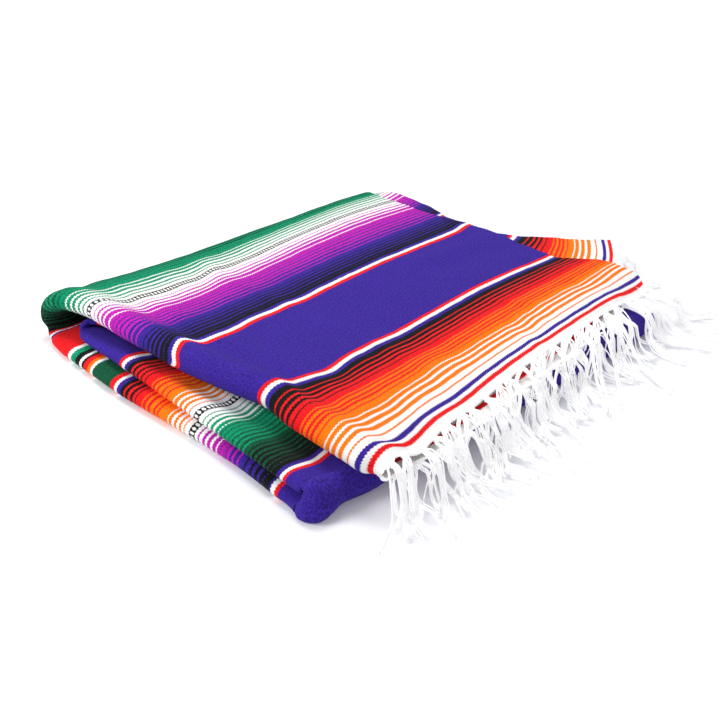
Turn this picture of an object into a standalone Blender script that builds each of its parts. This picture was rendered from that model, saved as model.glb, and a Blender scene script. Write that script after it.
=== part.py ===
"""A folded serape blanket lying on a flat surface, with its end fringe spread on the floor.

One striped cloth, a weft of 1.44 m by a warp of 2.2 m, is folded in half along its warp and then
three times across it.  Metres, +Z up.  The local corner at the front of the bottom fold is (0, 0, 0):
+X runs along the weft from the rolled edge to the two selvedges, +Y along the warp from the fringed
end to the wrapped end.  The frame empty moves that corner so that the origin lies under the middle.
"""
import math

import bmesh
import bpy
import numpy as np
from mathutils import Vector

for old in list(bpy.data.objects):
    bpy.data.objects.remove(old, do_unlink=True)

# ---- driving dimensions ------------------------------------------------------------------------
CLOTH = 0.003            # thickness of the woven wool
SEAM = 0.0006            # gap between one stretch of cloth and the next
RETURN_X = 0.115         # how far a rolled edge's hidden leaves run back before the hidden layers
SLAB_X = 0.118           # front face of the hidden layers
NEAR_X, MID_X, FAR_X = 0.08, 0.40, 0.72    # where the path table gives a weft line's y
HALF_WEFT = 0.72         # fold line to selvedge

TOP_END = 0.795          # warp place where the wrap passes into the bottom fold
BOTTOM_END = 1.430       # warp place where the bottom fold's bend passes into the middle fold
MIDDLE_END = 2.050       # warp place where the middle fold ends, hidden under the top fold

# ---- the fold path: where each weft line lies --------------------------------------------------
# turn is the direction of the warp about the weft: 0 runs towards +Y, 180 back, 270 straight up.
# axis is the height that the leaf offsets of the next table are measured from.
PATH_COLUMNS = ("warp", "turn", "y_near", "y_mid", "y_far", "axis")
PATH = (
    (-0.040, 0, -0.082, -0.026, 0.034, 0.0340),
    (0.000, 0, -0.042, 0.014, 0.074, 0.0340),
    (0.012, 0, -0.030, 0.026, 0.086, 0.0340),
    (0.060, 0, 0.018, 0.072, 0.124, 0.0340),
    (0.217, 0, 0.175, 0.216, 0.253, 0.0340),
    (0.390, 0, 0.348, 0.391, 0.433, 0.0340),
    (0.591, 0, 0.549, 0.581, 0.612, 0.0340),
    (0.655, 0, 0.612, 0.638, 0.666, 0.0340),
    (0.708, 90, 0.612, 0.638, 0.666, 0.0340),
    (0.762, 180, 0.612, 0.638, 0.666, 0.0340),
    (0.860, 180, 0.514, 0.540, 0.567, 0.0280),
    (0.974, 180, 0.400, 0.424, 0.449, 0.0235),
    (1.200, 180, 0.174, 0.195, 0.217, 0.0215),
    (1.359, 180, 0.008, 0.024, 0.049, 0.0215),
    (1.391, 270, 0.008, 0.024, 0.049, 0.0215),
    (1.422, 360, 0.008, 0.024, 0.049, 0.0215),
    (1.467, 360, 0.056, 0.074, 0.096, 0.0235),
    (1.700, 360, 0.293, 0.314, 0.338, 0.0290),
    (1.850, 360, 0.443, 0.467, 0.492, 0.0335),
    (1.965, 360, 0.560, 0.584, 0.612, 0.0355),
    (1.981, 270, 0.560, 0.584, 0.612, 0.0355),
    (1.997, 180, 0.560, 0.584, 0.612, 0.0355),
    (2.060, 180, 0.497, 0.521, 0.549, 0.0355),
)

# ---- the folded edge: a leaf on each side of the rolled edge ------------------------------------
# x_roll is the outermost point of the rolled edge and crest how far behind it the roll is full.
# The other columns are offsets from the axis: outer and inner leaf at the crest, 0.28 m and selvedge.
FOLD_COLUMNS = ("warp", "x_roll", "crest", "outer_roll", "inner_roll", "outer_mid", "inner_mid",
                "outer_edge", "inner_edge", "x_outer", "x_inner")
FOLD = (
    (0.000, 0.062, 0.028, 0.0385, 0.0115, 0.0210, 0.0125, 0.0230, 0.0140, 0.742, 0.765),
    (0.012, 0.064, 0.028, 0.0410, 0.0115, 0.0220, 0.0125, 0.0230, 0.0140, 0.760, 0.766),
    (0.030, 0.052, 0.034, 0.0425, 0.0115, 0.0235, 0.0125, 0.0230, 0.0140, 0.774, 0.766),
    (0.060, 0.055, 0.038, 0.0430, 0.0105, 0.0250, 0.0130, 0.0230, 0.0140, 0.781, 0.766),
    (0.100, 0.056, 0.036, 0.0425, 0.0105, 0.0260, 0.0140, 0.0230, 0.0140, 0.778, 0.766),
    (0.150, 0.057, 0.036, 0.0420, 0.0105, 0.0270, 0.0150, 0.0225, 0.0145, 0.757, 0.768),
    (0.217, 0.066, 0.034, 0.0410, 0.0105, 0.0275, 0.0155, 0.0215, 0.0155, 0.724, 0.768),
    (0.300, 0.052, 0.038, 0.0415, 0.0110, 0.0270, 0.0155, 0.0215, 0.0155, 0.731, 0.764),
    (0.390, 0.040, 0.044, 0.0425, 0.0120, 0.0265, 0.0155, 0.0215, 0.0155, 0.733, 0.752),
    (0.450, 0.038, 0.036, 0.0420, 0.0130, 0.0265, 0.0155, 0.0215, 0.0155, 0.722, 0.747),
    (0.520, 0.036, 0.030, 0.0415, 0.0145, 0.0265, 0.0165, 0.0220, 0.0160, 0.712, 0.756),
    (0.591, 0.033, 0.024, 0.0410, 0.0165, 0.0265, 0.0185, 0.0235, 0.0180, 0.706, 0.756),
    (0.655, 0.016, 0.018, 0.0405, 0.0215, 0.0270, 0.0205, 0.0255, 0.0200, 0.702, 0.738),
    (0.682, 0.008, 0.016, 0.0395, 0.0230, 0.0280, 0.0215, 0.0270, 0.0210, 0.700, 0.722),
    (0.708, 0.005, 0.013, 0.0370, 0.0225, 0.0300, 0.0220, 0.0290, 0.0220, 0.700, 0.712),
    (0.735, 0.003, 0.013, 0.0345, 0.0222, 0.0315, 0.0230, 0.0310, 0.0230, 0.698, 0.702),
    (0.762, 0.000, 0.014, 0.0329, 0.0215, 0.0329, 0.0240, 0.0329, 0.0240, 0.698, 0.698),
    (0.860, -0.010, 0.015, 0.0269, 0.0085, 0.0269, 0.0190, 0.0269, 0.0190, 0.706, 0.704),
    (0.974, -0.010, 0.016, 0.0225, 0.0025, 0.0225, 0.0150, 0.0225, 0.0150, 0.708, 0.703),
    (1.120, -0.006, 0.016, 0.0212, 0.0005, 0.0212, 0.0130, 0.0212, 0.0130, 0.704, 0.700),
    (1.220, 0.001, 0.016, 0.0204, 0.0002, 0.0204, 0.0125, 0.0204, 0.0125, 0.706, 0.702),
    (1.300, -0.007, 0.016, 0.0204, 0.0015, 0.0204, 0.0100, 0.0204, 0.0100, 0.702, 0.700),
    (1.359, -0.009, 0.014, 0.0202, 0.0030, 0.0202, 0.0050, 0.0202, 0.0050, 0.700, 0.698),
    (1.391, -0.004, 0.014, 0.0205, 0.0030, 0.0205, 0.0040, 0.0200, 0.0040, 0.701, 0.698),
    (1.422, 0.002, 0.014, 0.0190, 0.0035, 0.0190, 0.0045, 0.0190, 0.0045, 0.700, 0.698),
    (1.467, 0.006, 0.016, 0.0160, 0.0020, 0.0160, 0.0030, 0.0160, 0.0030, 0.702, 0.700),
    (1.560, 0.012, 0.016, 0.0130, 0.0000, 0.0120, 0.0000, 0.0120, 0.0000, 0.708, 0.704),
    (1.700, 0.006, 0.016, 0.0110, -0.0035, 0.0080, -0.0035, 0.0080, -0.0035, 0.706, 0.702),
    (1.850, 0.011, 0.014, 0.0075, -0.0080, 0.0030, -0.0080, 0.0030, -0.0080, 0.707, 0.703),
    (1.915, 0.015, 0.008, -0.0005, -0.0090, -0.0005, -0.0090, 0.0000, -0.0090, 0.708, 0.704),
    (1.965, 0.025, 0.0045, -0.0035, -0.0100, -0.0040, -0.0100, -0.0040, -0.0100, 0.708, 0.704),
    (1.981, 0.030, 0.0045, -0.0040, -0.0100, -0.0040, -0.0100, -0.0040, -0.0100, 0.708, 0.704),
    (1.997, 0.036, 0.0045, -0.0040, -0.0100, -0.0040, -0.0100, -0.0040, -0.0100, 0.708, 0.704),
    (2.060, 0.055, 0.0045, -0.0040, -0.0100, -0.0040, -0.0100, -0.0040, -0.0100, 0.708, 0.704),
)
MID_LEAF_X = 0.28        # where a leaf reaches its offset in the middle
EDGE_LEAF_X = 0.55       # and its offset at the selvedge, which it keeps from there on
LAST_LEAF_X = 0.80

# ---- the lower leaf of the top fold slips back and flares out at the fringed end -----------------
# slip is how far its selvedge lies further along the path, start the part of the half weft where
# that begins, flare how far the selvedge swings out, lift how far it rises there, and out how far
# the lower leaf comes out from under the upper one between its two ends.
SLIP_COLUMNS = ("warp", "slip", "start", "flare", "lift", "out")
SLIP = (
    (0.000, 0.175, 0.80, 0.096, 0.0070, 0.017),
    (0.060, 0.162, 0.77, 0.076, 0.0020, 0.010),
    (0.140, 0.146, 0.68, 0.044, -0.0050, 0.002),
    (0.217, 0.131, 0.50, 0.014, -0.0100, 0.000),
    (0.300, 0.112, 0.30, 0.000, -0.0100, 0.000),
    (0.390, 0.100, 0.20, 0.000, -0.0050, 0.000),
    (0.560, 0.085, 0.20, 0.000, 0.0000, 0.000),
    (0.760, 0.000, 0.20, 0.000, 0.0000, 0.000),
    (2.060, 0.000, 0.20, 0.000, 0.0000, 0.000),
)
FLARE_START = 0.72       # part of the half weft where the flare starts
SLIP_BEND = 1.3          # how the slip grows from its start to the selvedge
OUT_PLACES = (0.05, 0.20, 0.62, 0.86)    # parts of the half weft where its hem starts and ends to
OUT_SHARES = (0, 1, 1, 0)                # lie further out, and how much of that it has there

# ---- warp and weft places of the mesh lines ------------------------------------------------------
TOP_ROWS = (0.0, 0.012, 0.03, 0.06, 0.10, 0.14, 0.18, 0.217, 0.26, 0.30, 0.345, 0.39, 0.45, 0.51,
            0.555, 0.585, 0.61, 0.635, 0.655, 0.672, 0.69, 0.708, 0.726, 0.744, 0.762, TOP_END)
BOTTOM_ROWS = (TOP_END + SEAM, 0.86, 0.92, 0.974, 1.05, 1.12, 1.17, 1.22, 1.26, 1.30, 1.335, 1.359,
               1.370, 1.380, 1.391, 1.402, 1.412, 1.422, BOTTOM_END)
MIDDLE_ROWS = (BOTTOM_END + SEAM, 1.467, 1.51, 1.56, 1.63, 1.70, 1.775, 1.85, 1.89, 1.925, 1.95, 1.965,
               1.971, 1.976, 1.981, 1.986, 1.991, 1.997, 2.02, MIDDLE_END)
ROLL_STEPS = 6           # faces on a quarter of a roll
HALVINGS = 30
# Parts of the half weft on a whole leaf, and parts of a short return behind a roll.
LEAF_PLACES = (0.10, 0.16, 0.24, 0.34, 0.46, 0.58, 0.68, 0.76, 0.83, 0.89, 0.945, 1.0)
RETURN_PLACES = (0.5, 1.0)


def columns(table, names):
    return {name: np.array([row[i] for row in table], float) for i, name in enumerate(names)}


PATH_AT = columns(PATH, PATH_COLUMNS)
FOLD_AT = columns(FOLD, FOLD_COLUMNS)
SLIP_AT = columns(SLIP, SLIP_COLUMNS)


def smooth_value(places, values, place):
    """A rising or falling run through the table's values, with no overshoot between them."""
    place = min(max(place, places[0]), places[-1])
    steps = np.diff(places)
    rises = np.diff(values) / steps
    i = min(int(np.searchsorted(places, place, side="right")) - 1, len(steps) - 1)

    def slope(k):
        if k == 0 or k == len(steps):
            return rises[min(k, len(steps) - 1)]
        before, after = rises[k - 1], rises[k]
        return 0.0 if before * after <= 0 else 2 * before * after / (before + after)

    t = (place - places[i]) / steps[i]
    start, end = slope(i) * steps[i], slope(i + 1) * steps[i]
    return ((2 * t**3 - 3 * t**2 + 1) * values[i] + (t**3 - 2 * t**2 + t) * start
            + (3 * t**2 - 2 * t**3) * values[i + 1] + (t**3 - t**2) * end)


def row_of(table, warp):
    return {name: smooth_value(table["warp"], table[name], warp) for name in table if name != "warp"}


def weft_line(row, x):
    """y of a weft line at x, and its slope: a parabola through the three places of the path table."""
    places = np.array((NEAR_X, MID_X, FAR_X))
    fit = np.polyfit(places, (row["y_near"], row["y_mid"], row["y_far"]), 2)
    return np.polyval(fit, x), np.polyval(np.polyder(fit), x)


def on_path(warp, x, offset):
    """The place at x across the weft line, moved by offset along the fold's normal."""
    row = row_of(PATH_AT, warp)
    y, slope = weft_line(row, x)
    turn = math.radians(row["turn"])
    run = math.hypot(1.0, slope)
    across = Vector((-slope / run, 1.0 / run, 0.0))
    normal = across * math.sin(turn) + Vector((0.0, 0.0, math.cos(turn)))
    point = Vector((x, y, row["axis"])) + normal * offset
    point.z = max(point.z, CLOTH / 2)    # the floor holds the cloth up
    return point


def roll_shape(fold):
    """Middle offset, half height and quarter girth of the rolled edge, an ellipse in section."""
    rise = (fold["outer_roll"] - fold["inner_roll"]) / 2
    quarter = math.pi / 2 * math.sqrt((fold["crest"]**2 + rise**2) / 2)
    return (fold["outer_roll"] + fold["inner_roll"]) / 2, rise, quarter


def leaf_offset(fold, side, x):
    """A leaf's offset from the axis at x, behind the roll."""
    knots = np.array((0.0, fold["x_roll"] + fold["crest"], MID_LEAF_X, EDGE_LEAF_X, LAST_LEAF_X))
    offsets = np.array([fold[side + key] for key in ("_roll", "_roll", "_mid", "_edge", "_edge")])
    return smooth_value(knots, offsets, x)


def folded(warp, weft):
    """The middle of the cloth at a warp place and at weft, -1 inner selvedge, 0 rolled edge, 1 outer."""
    part = abs(weft)
    inner = weft < 0
    slip = row_of(SLIP_AT, warp)
    reach = max(0.0, part - slip["start"]) / (1.0 - slip["start"])
    shown = float(np.interp(part, OUT_PLACES, OUT_SHARES))
    pushed = slip["slip"] * reach**SLIP_BEND - slip["out"] * shown**2 * (3 - 2 * shown)
    place = warp + (pushed if inner else 0.0)
    fold = row_of(FOLD_AT, place)
    middle, rise, quarter = roll_shape(fold)
    run = part * HALF_WEFT
    if run < quarter:
        angle = math.pi / 2 * run / quarter
        x = fold["x_roll"] + fold["crest"] * (1 - math.cos(angle))
        return on_path(place, x, middle + math.copysign(rise * math.sin(angle), weft))
    side = "inner" if inner else "outer"
    crest_x = fold["x_roll"] + fold["crest"]
    x = crest_x + (run - quarter) / (HALF_WEFT - quarter) * (fold["x_" + side] - crest_x)
    point = on_path(place, x, leaf_offset(fold, side, x))
    if inner:
        swing = max(0.0, part - FLARE_START) / (1 - FLARE_START)
        point.x += slip["flare"] * swing
        point.z += slip["lift"] * swing**3
    return point


def weft_of_x(warp, side, x):
    """The weft part whose leaf lies at x, found by halving."""
    low, high = 0.0, 1.0
    for _ in range(HALVINGS):
        half = (low + high) / 2
        if folded(warp, side * half).x < x:
            low = half
        else:
            high = half
    return side * half


def roll_places(warp):
    """Weft places of the rolled edge's mesh lines, from the tuck to the crest."""
    _, _, quarter = roll_shape(row_of(FOLD_AT, warp))
    return [quarter / HALF_WEFT * i / ROLL_STEPS for i in range(-ROLL_STEPS, ROLL_STEPS + 1)]


def leaf_places(warp, side, reach_x):
    """Weft places of a leaf's mesh lines behind the roll: the whole leaf, or a short return."""
    if reach_x is None:
        return [side * part for part in LEAF_PLACES]
    end = weft_of_x(warp, side, reach_x)
    start = roll_places(warp)[-1]
    return [side * (start + (abs(end) - start) * part) for part in RETURN_PLACES]


def cloth_grid(rows, inner_reach, outer_reach):
    grid = []
    for warp in rows:
        inner = leaf_places(warp, -1, inner_reach)[::-1]
        outer = leaf_places(warp, 1, outer_reach)
        grid.append([folded(warp, weft) for weft in inner + roll_places(warp) + outer])
    return grid


# ---- building blocks ------------------------------------------------------------------------------
def material(name, rgb, roughness=0.95):
    wool = bpy.data.materials.new(name)
    wool.use_nodes = True
    shader = wool.node_tree.nodes["Principled BSDF"]
    shader.inputs["Base Color"].default_value = (*rgb, 1.0)
    shader.inputs["Roughness"].default_value = roughness
    shader.inputs["Metallic"].default_value = 0.0
    wool.diffuse_color = (*rgb, 1.0)
    return wool


def add_object(name, body, wool, frame):
    mesh = bpy.data.meshes.new(name)
    bmesh.ops.recalc_face_normals(body, faces=body.faces)
    body.to_mesh(mesh)
    body.free()
    mesh.materials.append(wool)
    mesh.shade_smooth()
    mesh.set_sharp_from_angle(angle=math.radians(40))
    piece = bpy.data.objects.new(name, mesh)
    piece.parent = frame
    bpy.context.scene.collection.objects.link(piece)
    return piece


def add_cloth(name, grid, wool, frame):
    """A sheet through the grid's points, made as thick as the cloth by a Solidify modifier."""
    body = bmesh.new()
    verts = [[body.verts.new(point) for point in line] for line in grid]
    for line, after in zip(verts, verts[1:]):
        for i in range(len(line) - 1):
            body.faces.new((line[i], line[i + 1], after[i + 1], after[i]))
    piece = add_object(name, body, wool, frame)
    wall = piece.modifiers.new("cloth", "SOLIDIFY")
    wall.thickness = CLOTH
    wall.offset = 0.0
    return piece


# ---- the hidden layers: one rounded solid, layered along the selvedges -----------------------------
SLAB_TOP_X = (SLAB_X, 0.20, 0.32, 0.45, 0.58)
SLAB_FOOT_X = (0.45, 0.28, SLAB_X)
SLAB_EDGE_X = 0.686
SLAB_LAYERS = 4
LAYER_SHAPE = ((0.25, 1.0), (0.75, 1.0), (1.0, 0.0))    # parts of its depth, and of its nose
SLAB_EDGE_DROP = 0.003       # how far the layers sink at their edges, where nothing fills them
LAYER_NOSE = 0.009           # how far a layer's rounded edge stands out of the groove beside it
LAYER_WAVE = 0.003           # how much one layer's edge differs from another's
EDGE_TURN, LAYER_TURN, NOSE_TURN = 1.7, 2.3, 0.9        # radians from one loop or layer to the next
SLAB_GAP = 0.0010            # air over the slab, under the leaf that lies on it
FLOOR_GAP = CLOTH + 0.0006   # foot of the slab, over the leaf that lies on the floor
WRAP_START, WRAP_END = 0.655, 0.762
BEND_START, BEND_END = 1.359, 1.422
BEND_LEAF = 0.0180           # the bend's leaf where it is nearest to its axis
WRAP_LEAF_TOP = 0.0155       # foot of the slab, over the wrap's inner leaf
NOSE_STEPS = (0.26, 0.20, 0.12, 0.0)         # parts of the turn, from the nose's tip back
TOP_PLACES = (0.10, 0.16, 0.23, 0.31, 0.40, 0.50, 0.57, 0.6155)
STEP_PLACES = (0.6175, 0.640)


def under_top_leaf(place, x):
    return on_path(place, x, leaf_offset(row_of(FOLD_AT, place), "inner", x) - CLOTH / 2 - SLAB_GAP)


def slab_loop(top_of, foot_of, number):
    """One closed loop across the slab: along the top, down the layered edge and back under."""
    edge = SLAB_EDGE_X + LAYER_WAVE * math.sin(EDGE_TURN * number)
    top = [top_of(x) for x in SLAB_TOP_X + (edge,)]
    top[-1].z -= SLAB_EDGE_DROP
    foot = [foot_of(x) for x in (edge,) + SLAB_FOOT_X]
    loop = list(top)
    for layer in range(SLAB_LAYERS):
        out = LAYER_NOSE + LAYER_WAVE * math.sin(LAYER_TURN * layer + NOSE_TURN * number)
        for part, reach in LAYER_SHAPE:
            down = (layer + part) / SLAB_LAYERS
            loop.append(top[-1].lerp(foot[0], down) + Vector((out * reach, 0.0, 0.0)))
    return loop + foot[1:]


def nose_loop(start, end, radius, part, number):
    """A loop in a rounded end of the slab, with part of the turn to go on each side."""
    run = (end - start) * part
    return slab_loop(lambda x: on_path(start + run, x, radius),
                     lambda x: on_path(end - run, x, radius), number)


def flat_loop(place, foot_z, number):
    def foot(x):
        point = under_top_leaf(place, x)
        return Vector((point.x, point.y, foot_z))
    return slab_loop(lambda x: under_top_leaf(place, x), foot, number)


def hidden_layers(wool, frame):
    bend_radius = BEND_LEAF - CLOTH / 2 - SLAB_GAP
    wrap_radius = min(row_of(FOLD_AT, place)[leaf] for place in (WRAP_START, WRAP_END)
                      for leaf in ("inner_mid", "inner_edge")) - CLOTH / 2 - SLAB_GAP
    loops = [nose_loop(BEND_END, BEND_START, bend_radius, part, i) for i, part in enumerate(NOSE_STEPS)]
    loops += [flat_loop(place, FLOOR_GAP, len(loops) + i) for i, place in enumerate(TOP_PLACES)]
    loops += [flat_loop(place, WRAP_LEAF_TOP, len(loops) + i) for i, place in enumerate(STEP_PLACES)]
    loops += [nose_loop(WRAP_START, WRAP_END, wrap_radius, part, len(loops) + i)
              for i, part in enumerate(NOSE_STEPS[::-1])]
    body = bmesh.new()
    rings = [[body.verts.new(point) for point in loop] for loop in loops]
    for ring, after in zip(rings, rings[1:]):
        for i, vert in enumerate(ring):
            j = (i + 1) % len(ring)
            body.faces.new((vert, ring[j], after[j], after[i]))
    body.faces.new(rings[0])
    body.faces.new(rings[-1])
    add_object("hidden_layers", body, wool, frame)


# ---- the fringe ------------------------------------------------------------------------------------
STRIP = 0.008                # width of the backing strip that the knots are tied along
STRIP_GAP = 0.0008           # between the strip and the cloth's hem
STRIP_START = 0.004          # where it starts beside the rolled edge, in parts of the half weft
TASSEL_START = 0.030
TASSEL_PITCH = 0.025
ROOT_INNER, ROOT_OUTER = 0.0015, 0.0065    # a tassel's two locks on the strip, from its middle
LEAST_CUT = 0.0012           # no cut across the strip is nearer than this to a lock
TIP_SPREAD = 0.0065          # how far a lock's tip lies from its tassel's middle
TIP_VARIES = 0.008           # how much longer or shorter a lock may be
TASSEL_TURN, LOCK_TURN = 2.4, 1.1          # radians from one tassel or lock to the next
LEAST_AHEAD = 0.5            # least part of a lock's heading that counts as away from the bend
LOCK_CORNERS = ((-1, -1), (1, -1), (1, 1), (-1, 1))
BEND_LEFT, BEND_RIGHT = -0.01, 0.765       # where the bend lies under the fringe
# One row for each place down a lock: how far it is from the hem at least, how far from the middle of
# the bend at least, its height (or its fall below the hem, if negative) and its half width and depth.
LOCK_COLUMNS = ("from_hem", "from_bend", "height", "half_width", "half_depth")
UPPER_LOCK = (
    (0.010, -1.000, -0.0006, 0.0030, 0.0024),
    (0.030, 0.0200, -0.0012, 0.0027, 0.0020),
    (0.052, 0.0400, 0.0290, 0.0027, 0.0019),
    (0.060, 0.0490, 0.0150, 0.0027, 0.0019),
    (0.074, 0.0680, 0.0092, 0.0025, 0.0018),
    (0.100, 0.1040, 0.0030, 0.0014, 0.0012),
)
LOWER_LOCK = (
    (0.008, -1.000, -0.0005, 0.0030, 0.0020),
    (0.012, 0.0060, 0.0458, 0.0027, 0.0018),
    (0.019, 0.0235, 0.0325, 0.0026, 0.0018),
    (0.0235, 0.0305, 0.0165, 0.0026, 0.0018),
    (0.031, 0.0370, 0.0045, 0.0024, 0.0016),
    (0.056, 0.0600, 0.0026, 0.0014, 0.0012),
)


def hem(side):
    """The hem at the cloth's own mesh places: run along it, point, outward, along and normal."""
    roll = [weft for weft in roll_places(0.0) if weft * side > 0]
    wefts = [side * STRIP_START] + sorted(roll, key=abs) + leaf_places(0.0, side, None)
    points = [folded(0.0, weft) for weft in wefts]
    run = 0.0
    line = []
    for i, (weft, point) in enumerate(zip(wefts, points)):
        run += (point - points[i - 1]).length if i else 0.0
        along = (points[min(i + 1, len(points) - 1)] - points[max(i - 1, 0)]).normalized()
        outward = point - folded(TOP_ROWS[1], weft)
        outward = (outward - along * outward.dot(along)).normalized()
        line.append((run, point, outward, along, outward.cross(along) * side))
    return line


def hem_at(line, run):
    """The hem's frame at a run along it, between two of the cloth's mesh places."""
    i = max(k for k in range(len(line) - 1) if line[k][0] <= run)
    part = (run - line[i][0]) / (line[i + 1][0] - line[i][0])
    point = line[i][1].lerp(line[i + 1][1], part)
    turned = [line[i][k].lerp(line[i + 1][k], part).normalized() for k in (2, 3, 4)]
    return [point] + turned


def lock_path(table, point, outward, side_shift, longer):
    """Points down one lock, from the strip over the bend to the floor."""
    ahead = Vector((outward.x, outward.y, 0.0)).normalized()
    sideways = Vector((-ahead.y, ahead.x, 0.0))
    bend_y, _ = weft_line(row_of(PATH_AT, BEND_END), point.x)
    beyond = bend_y - point.y
    over_bend = BEND_LEFT < point.x < BEND_RIGHT
    path = []
    for i, values in enumerate(table):
        row = dict(zip(LOCK_COLUMNS, values))
        run = row["from_hem"]
        if over_bend:
            run = max(run, (row["from_bend"] - beyond) / max(LEAST_AHEAD, -ahead.y))
        if i == len(table) - 1:
            run += longer
        place = Vector((point.x, point.y, 0.0)) + ahead * run
        place += sideways * side_shift * i / (len(table) - 1)
        place.z = row["height"] if row["height"] > 0 else point.z + row["height"]
        path.append((place, row["half_width"], row["half_depth"]))
    return path


def add_lock(body, root, along, normal, path):
    """Skin one four-sided lock from the strip's face, root, down its path."""
    before = sum((vert.co for vert in root), Vector()) / 4
    ring = root
    wide = along
    places = [before] + [place for place, _, _ in path]
    for i, (place, half_width, half_depth) in enumerate(path):
        after = places[i + 2] if i + 2 < len(places) else place
        heading = ((place - before).normalized() + (after - place).normalized()).normalized()
        wide = (wide - heading * wide.dot(heading)).normalized()
        deep = heading.cross(wide)
        if deep.dot(normal) < 0:
            deep = -deep
        normal = deep
        new = [body.verts.new(place + wide * half_width * a + deep * half_depth * b)
               for a, b in LOCK_CORNERS]
        for k in range(4):
            body.faces.new((ring[k], ring[(k + 1) % 4], new[(k + 1) % 4], new[k]))
        ring = new
        before = place
    body.faces.new(ring)


def fringe(name, side, table, first, wool, frame):
    """A backing strip along one leaf's hem, with two locks at each tassel."""
    line = hem(side)
    length = line[-1][0]
    first_tassel = first + ROOT_OUTER
    tassels = int((length - first_tassel - ROOT_OUTER) / TASSEL_PITCH) + 1
    spare = (length - first_tassel - ROOT_OUTER - (tassels - 1) * TASSEL_PITCH) / max(1, tassels - 1)
    roots = {}
    for i in range(tassels):
        middle = first_tassel + i * (TASSEL_PITCH + spare)
        roots[middle - ROOT_OUTER] = (middle - ROOT_INNER, i, -1)
        roots[middle + ROOT_INNER] = (middle + ROOT_OUTER, i, 1)
    cuts = list(roots) + [end for end, _, _ in roots.values()]
    for run, *_ in line:
        if all(not start - LEAST_CUT < run < end + LEAST_CUT for start, (end, _, _) in roots.items()):
            cuts.append(run)
    cuts.sort()
    locks = {i: roots[cut][1:] for i, cut in enumerate(cuts) if cut in roots}
    body = bmesh.new()
    rings = []
    frames = []
    for cut in cuts:
        point, outward, along, normal = hem_at(line, cut)
        frames.append((outward, along, normal))
        near, far = point + outward * STRIP_GAP, point + outward * (STRIP_GAP + STRIP)
        half = normal * CLOTH / 2
        rings.append([body.verts.new(p) for p in (near - half, far - half, far + half, near + half)])
    for i, (ring, after) in enumerate(zip(rings, rings[1:])):
        for k in range(4):
            if k == 1 and i in locks:
                continue
            body.faces.new((ring[k], ring[(k + 1) % 4], after[(k + 1) % 4], after[k]))
        if i in locks:
            number, hand = locks[i]
            outward, along, normal = frames[i]
            middle = (ring[1].co + after[1].co + ring[2].co + after[2].co) / 4
            hung = Vector((outward.x, outward.y, 0.0)).normalized()
            shift = TIP_SPREAD - (ROOT_INNER + ROOT_OUTER) / 2
            turned = 1 if along.dot(Vector((-hung.y, hung.x, 0.0))) > 0 else -1
            longer = TIP_VARIES * math.sin(TASSEL_TURN * number + LOCK_TURN * hand)
            path = lock_path(table, middle, outward, turned * hand * shift, longer)
            root = [ring[1], after[1], after[2], ring[2]]
            add_lock(body, root, along, normal, path)
    body.faces.new(rings[0])
    body.faces.new(rings[-1])
    add_object(name, body, wool, frame)


def main():
    frame = bpy.data.objects.new("serape_frame", None)
    bpy.context.scene.collection.objects.link(frame)
    blue = material("blue_wool", (0.055, 0.022, 0.32))
    red = material("red_wool", (0.80, 0.03, 0.03))
    white = material("white_wool", (0.82, 0.82, 0.82))
    add_cloth("top_fold", cloth_grid(TOP_ROWS, None, None), blue, frame)
    add_cloth("bottom_fold", cloth_grid(BOTTOM_ROWS, RETURN_X, None), blue, frame)
    add_cloth("middle_fold", cloth_grid(MIDDLE_ROWS, RETURN_X, RETURN_X), red, frame)
    hidden_layers(red, frame)
    fringe("fringe_upper", 1, UPPER_LOCK, TASSEL_START, white, frame)
    fringe("fringe_lower", -1, LOWER_LOCK, TASSEL_START + TASSEL_PITCH / 2, white, frame)
    view = bpy.context.evaluated_depsgraph_get()
    corners = np.array([corner for piece in frame.children
                        for corner in piece.evaluated_get(view).bound_box])
    middle = (corners.min(axis=0) + corners.max(axis=0)) / 2
    frame.location = (-middle[0], -middle[1], 0.0)


main()
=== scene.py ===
"""A folded serape blanket: one striped cloth in a weft-faced weave, with its knotted fringe.

Metres, +Z up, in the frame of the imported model.  The cloth's own places are the warp, 0 at the
fringed hem that lies on top, and the weft, -1 and 1 at the two selvedges and 0 at the rolled fold.
"""
import math

import bpy
import numpy as np
from mathutils import Matrix, Vector, noise


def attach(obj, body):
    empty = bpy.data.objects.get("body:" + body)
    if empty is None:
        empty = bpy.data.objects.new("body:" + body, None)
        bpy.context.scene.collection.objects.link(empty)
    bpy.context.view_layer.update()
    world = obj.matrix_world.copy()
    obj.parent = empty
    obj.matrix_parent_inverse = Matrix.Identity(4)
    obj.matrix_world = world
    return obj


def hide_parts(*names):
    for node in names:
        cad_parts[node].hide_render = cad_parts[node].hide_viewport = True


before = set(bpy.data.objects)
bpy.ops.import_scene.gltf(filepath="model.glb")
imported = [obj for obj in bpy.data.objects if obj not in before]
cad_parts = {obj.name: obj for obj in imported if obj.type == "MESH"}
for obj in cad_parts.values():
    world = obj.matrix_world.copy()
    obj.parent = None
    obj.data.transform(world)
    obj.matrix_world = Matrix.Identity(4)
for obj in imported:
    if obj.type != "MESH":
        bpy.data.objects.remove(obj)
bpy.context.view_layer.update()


# ---- Stand: a pale matte table, a camera above the rolled corner and a white tent of light ----------
# The blanket lies on a seamless white sweep under large soft lights, which leave only a faint
# shadow under its rolls and round the fringe; further out the sweep has a painted glow.
CAMERA_PLACE = (-1.1633, -1.1082, 0.7750)
CAMERA_TURN = -42.85
CAMERA_DOWN = 27.3
CAMERA_ROLL = 0.65
LENS = 57.5
FLOOR_SIZE = 14.0
FLOOR_DROP = 0.0002
GLOW_START, GLOW_FULL = 0.35, 1.6        # how far out the sweep starts to glow, and glows fully
GLOW_NEAR, GLOW_FAR = 0.02, 0.60
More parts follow.
